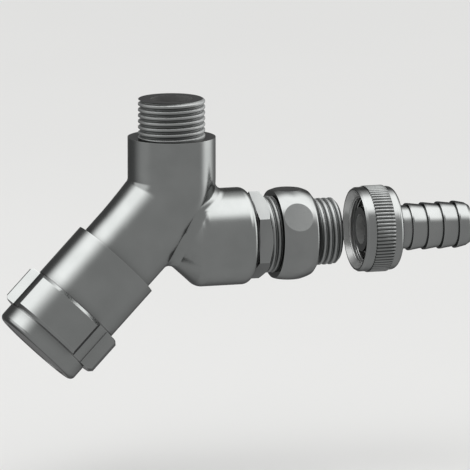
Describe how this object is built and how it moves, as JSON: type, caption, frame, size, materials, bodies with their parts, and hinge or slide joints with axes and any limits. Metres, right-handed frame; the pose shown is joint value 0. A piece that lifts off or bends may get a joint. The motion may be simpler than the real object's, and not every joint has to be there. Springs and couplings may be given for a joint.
{
  "type": "appliance valve",
  "caption": "Y-pattern appliance valve with threaded inlet, lugged knob on an oblique arm, check valve in a ball housing and a detached hose union with a knurled nut and barbed tail.",
  "frame": {"origin": "centre of the shoulder below the inlet thread, which meets the wall fitting", "axes": "+Z out along the inlet thread, +X along the outlet towards the hose, +Y away from the picture's side"},
  "size_m": [0.1514, 0.0358, 0.0867],
  "materials": {
    "chrome_plate": "dark satin chrome plate on brass",
    "brass": "bare turned brass",
    "rubber": "matt black rubber",
    "white_plastic": "moulded acetal",
    "stainless_steel": "plain stainless steel"
  },
  "bodies": {
    "valve": {"valve_body": "chrome_plate", "bonnet": "brass", "bonnet_o_ring": "rubber", "outlet_nipple": "chrome_plate", "nipple_seal": "rubber", "ball_housing": "chrome_plate", "cartridge_body": "white_plastic", "cartridge_o_ring": "rubber", "check_guide": "white_plastic", "check_spring": "stainless_steel"},
    "knob": {"handle": "chrome_plate", "handle_insert": "brass", "handle_screw": "stainless_steel", "handle_cap": "chrome_plate", "spindle": "brass", "spindle_o_rings": "rubber", "spindle_circlip": "stainless_steel"},
    "shutter": {"plunger": "brass", "seat_washer": "rubber", "washer_screw": "stainless_steel"},
    "check": {"check_poppet": "white_plastic", "poppet_seal": "rubber"},
    "tail": {"hose_tail": "chrome_plate", "union_gasket": "rubber"},
    "nut": {"union_nut": "chrome_plate"}
  },
  "joints": [
    {"name": "handle_turn", "type": "hinge", "parent": "valve", "child": "knob", "pos_m": [0, 0, -0.019], "axis": [-0.6947, 0, -0.7193], "range_deg": [0, 1081]},
    {"name": "plunger_lift", "type": "slide", "parent": "valve", "child": "shutter", "axis": [-0.6947, 0, -0.7193], "range_m": [0, 0.0045]},
    {"name": "check_lift", "type": "slide", "parent": "valve", "child": "check", "axis": [1, 0, 0], "range_m": [0, 0.0026], "stiffness_N_per_m": 120, "springref_m": -0.002, "deforming": ["check_spring"]},
    {"name": "hose_union", "type": "slide", "parent": "valve", "child": "tail", "axis": [-1, 0, 0], "range_m": [0, 0.0112]},
    {"name": "nut_turn", "type": "hinge", "parent": "tail", "child": "nut", "pos_m": [0.066, 0, -0.0325], "axis": [-1, 0, 0], "range_deg": [0, 2225]}
  ],
  "couplings": [
    {"joint": "handle_turn", "follows": "plunger_lift", "rad_per_m": 4188.8},
    {"joint": "nut_turn", "follows": "hose_union", "rad_per_m": 3463.2}
  ]
}
